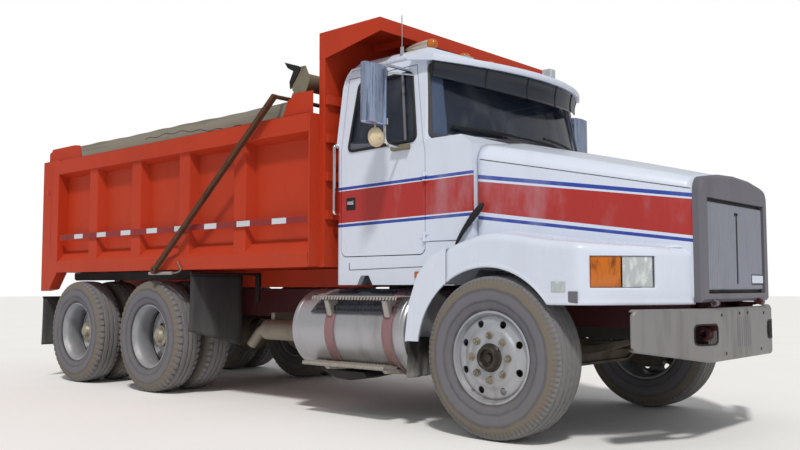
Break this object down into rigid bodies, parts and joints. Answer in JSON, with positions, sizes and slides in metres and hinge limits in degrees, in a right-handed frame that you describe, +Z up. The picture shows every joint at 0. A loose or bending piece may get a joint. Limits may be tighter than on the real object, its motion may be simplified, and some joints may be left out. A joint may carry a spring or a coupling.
{
  "type": "dump truck",
  "caption": "Tandem-axle dump truck with a bonneted cab, tilting steel bed, top-hung tailgate, telescopic front hoist and sprung tarp bow.",
  "frame": {"origin": "on the ground under the middle of the overall length and width", "axes": "+X forward, +Y to the truck's left, +Z up"},
  "size_m": [7.27, 3, 3.0198],
  "materials": {
    "frame_red": "satin",
    "bumper_steel": "dull",
    "axle_black": "oily",
    "engine_grey": "matt",
    "core": "matt",
    "tank_alu": "satin",
    "steel_pipe": "weathered",
    "rubber": "matt",
    "cab_white": "gloss",
    "interior": "matt",
    "glass": "tinted",
    "lamp": "clear",
    "bright": "polished",
    "surround": "satin",
    "wheel_silver": "satin",
    "tyre": "dusty",
    "bed_red": "satin",
    "board": "weathered",
    "bare_rust": "rusty",
    "dark_steel": "satin"
  },
  "bodies": {
    "chassis": {"frame": "frame_red", "front_bumper": "bumper_steel", "front_axle": "axle_black", "suspension": "axle_black", "drive_axles": "axle_black", "drive_shafts": "axle_black", "engine_block": "engine_grey", "radiator": "core", "fuel_tanks": "tank_alu", "tank_mounts": "frame_red", "muffler": "steel_pipe", "flap_hangers": "dark_steel", "mud_flaps": "rubber", "cab_shell": "cab_white", "cab_interior": "interior", "cab_glass": "glass", "sun_visor": "cab_white", "roof_lights": "lamp", "grab_handles": "bright"},
    "hood": {"hood_shell": "cab_white", "headlamps": "lamp", "grille_surround": "surround", "grille_bars": "surround"},
    "tie_rod": {"tie_rod": "dark_steel"},
    "bed": {"bed_floor": "bed_red", "bed_sills": "bed_red", "bed_front": "bed_red", "bed_posts": "bed_red", "bed_side_left": "bed_red", "bed_side_right": "bed_red", "cab_shield": "bed_red", "sideboards": "board", "tarp_housing": "dark_steel"},
    "tailgate": {"tailgate": "bed_red"},
    "tarp_bow": {"tarp_bow": "bare_rust"},
    "hoist_barrel": {"hoist_barrel": "dark_steel"},
    "hoist_stage_1": {"hoist_stage_1": "bright"},
    "hoist_stage_2": {"hoist_stage_2": "bright"},
    "hoist_rod": {"hoist_rod": "bright"},
    "door_left": {"door_left": "cab_white", "door_glass_left": "glass", "mirror_left": "bright"},
    "knuckle_left": {"knuckle_left": "dark_steel"},
    "front_wheel_left": {"front_wheel_left": "wheel_silver", "front_tyre_left": "tyre"},
    "mid_wheels_left": {"mid_wheels_left": "wheel_silver", "mid_tyres_left": "tyre"},
    "rear_wheels_left": {"rear_wheels_left": "wheel_silver", "rear_tyres_left": "tyre"},
    "door_right": {"door_right": "cab_white", "door_glass_right": "glass", "mirror_right": "bright"},
    "knuckle_right": {"knuckle_right": "dark_steel"},
    "front_wheel_right": {"front_wheel_right": "wheel_silver", "front_tyre_right": "tyre"},
    "mid_wheels_right": {"mid_wheels_right": "wheel_silver", "mid_tyres_right": "tyre"},
    "rear_wheels_right": {"rear_wheels_right": "wheel_silver", "rear_tyres_right": "tyre"}
  },
  "joints": [
    {"name": "bed_tilt", "type": "hinge", "parent": "chassis", "child": "bed", "pos_m": [-3.285, 0, 1.05], "axis": [0, -1, 0], "range_deg": [0, 45]},
    {"name": "tailgate_swing", "type": "hinge", "parent": "bed", "child": "tailgate", "pos_m": [-3.52, 0, 2.385], "axis": [0, 1, 0], "range_deg": [0, 60]},
    {"name": "tarp_bow_swing", "type": "hinge", "parent": "bed", "child": "tarp_bow", "pos_m": [-1.265, 0, 1.13], "axis": [0, -1, 0], "range_deg": [0, 98]},
    {"name": "hoist_tilt", "type": "hinge", "parent": "chassis", "child": "hoist_barrel", "pos_m": [0.683, 0, 0.95], "axis": [0, -1, 0], "range_deg": [0, 29]},
    {"name": "hoist_stage_1_slide", "type": "slide", "parent": "hoist_barrel", "child": "hoist_stage_1", "axis": [0, 0, 1], "range_m": [0, 1]},
    {"name": "hoist_stage_2_slide", "type": "slide", "parent": "hoist_stage_1", "child": "hoist_stage_2", "axis": [0, 0, 1], "range_m": [0, 1]},
    {"name": "hoist_rod_slide", "type": "slide", "parent": "hoist_stage_2", "child": "hoist_rod", "axis": [0, 0, 1], "range_m": [0, 1]},
    {"name": "hood_tilt", "type": "hinge", "parent": "chassis", "child": "hood", "pos_m": [3.605, 0, 0.873], "axis": [0, 1, 0], "range_deg": [0, 65]},
    {"name": "door_left_swing", "type": "hinge", "parent": "chassis", "child": "door_left", "pos_m": [1.808, 1.058, 1.2], "axis": [0, 0, -1], "range_deg": [0, 65]},
    {"name": "steer_left", "type": "hinge", "parent": "chassis", "child": "knuckle_left", "pos_m": [2.465, 0.9, 0.526], "axis": [0, 0, 1], "range_deg": [-32, 32]},
    {"name": "front_wheel_left_spin", "type": "hinge", "parent": "knuckle_left", "child": "front_wheel_left", "pos_m": [2.465, 1.0575, 0.526], "axis": [0, 1, 0], "continuous": true},
    {"name": "mid_wheels_left_spin", "type": "hinge", "parent": "chassis", "child": "mid_wheels_left", "pos_m": [-1.449, 1.0775, 0.518], "axis": [0, 1, 0], "continuous": true},
    {"name": "rear_wheels_left_spin", "type": "hinge", "parent": "chassis", "child": "rear_wheels_left", "pos_m": [-2.799, 1.0775, 0.518], "axis": [0, 1, 0], "continuous": true},
    {"name": "door_right_swing", "type": "hinge", "parent": "chassis", "child": "door_right", "pos_m": [1.808, -1.058, 1.2], "axis": [0, 0, 1], "range_deg": [0, 65]},
    {"name": "steer_right", "type": "hinge", "parent": "chassis", "child": "knuckle_right", "pos_m": [2.465, -0.9, 0.526], "axis": [0, 0, 1], "range_deg": [-32, 32]},
    {"name": "front_wheel_right_spin", "type": "hinge", "parent": "knuckle_right", "child": "front_wheel_right", "pos_m": [2.465, -1.0575, 0.526], "axis": [0, 1, 0], "continuous": true},
    {"name": "mid_wheels_right_spin", "type": "hinge", "parent": "chassis", "child": "mid_wheels_right", "pos_m": [-1.449, -1.0775, 0.518], "axis": [0, 1, 0], "continuous": true},
    {"name": "rear_wheels_right_spin", "type": "hinge", "parent": "chassis", "child": "rear_wheels_right", "pos_m": [-2.799, -1.0775, 0.518], "axis": [0, 1, 0], "continuous": true},
    {"name": "tie_rod_slide", "type": "slide", "parent": "chassis", "child": "tie_rod", "axis": [0, -1, 0], "range_m": [-0.12, 0.12]}
  ],
  "couplings": [
    {"joint": "hoist_tilt", "follows": "bed_tilt", "ratio": 0.63452},
    {"joint": "hoist_stage_1_slide", "follows": "bed_tilt", "m_per_rad": 1.254},
    {"joint": "hoist_stage_2_slide", "follows": "bed_tilt", "m_per_rad": 1.254},
    {"joint": "hoist_rod_slide", "follows": "bed_tilt", "m_per_rad": 1.254},
    {"joint": "steer_left", "follows": "steer_right", "ratio": 1},
    {"joint": "tie_rod_slide", "follows": "steer_right", "m_per_rad": 0.18976}
  ]
}
